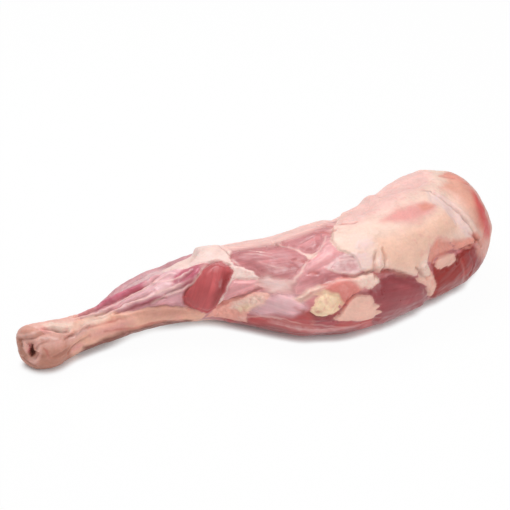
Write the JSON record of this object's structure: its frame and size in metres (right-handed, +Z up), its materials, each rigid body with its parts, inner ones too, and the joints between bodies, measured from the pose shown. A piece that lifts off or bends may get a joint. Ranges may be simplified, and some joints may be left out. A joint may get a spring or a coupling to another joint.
{
  "type": "raw leg of lamb",
  "caption": "Raw bone-in leg of lamb, whole, lying on its side: a slim shank with a round hock joint, widening to a plump thigh and rump with a cap of fat.",
  "frame": {"origin": "on the table, under the middle of the bounding box", "axes": "+X along the leg from the hock to the rump, +Z up from the table, -Y the side that faces a viewer in front"},
  "size_m": [0.5416, 0.1782, 0.1101],
  "materials": {
    "raw_meat": "moist raw lamb: pink to dark red muscle with cream and tan fat, faintly glossy"
  },
  "bodies": {
    "root": {"leg_of_lamb": "raw_meat"}
  },
  "joints": []
}
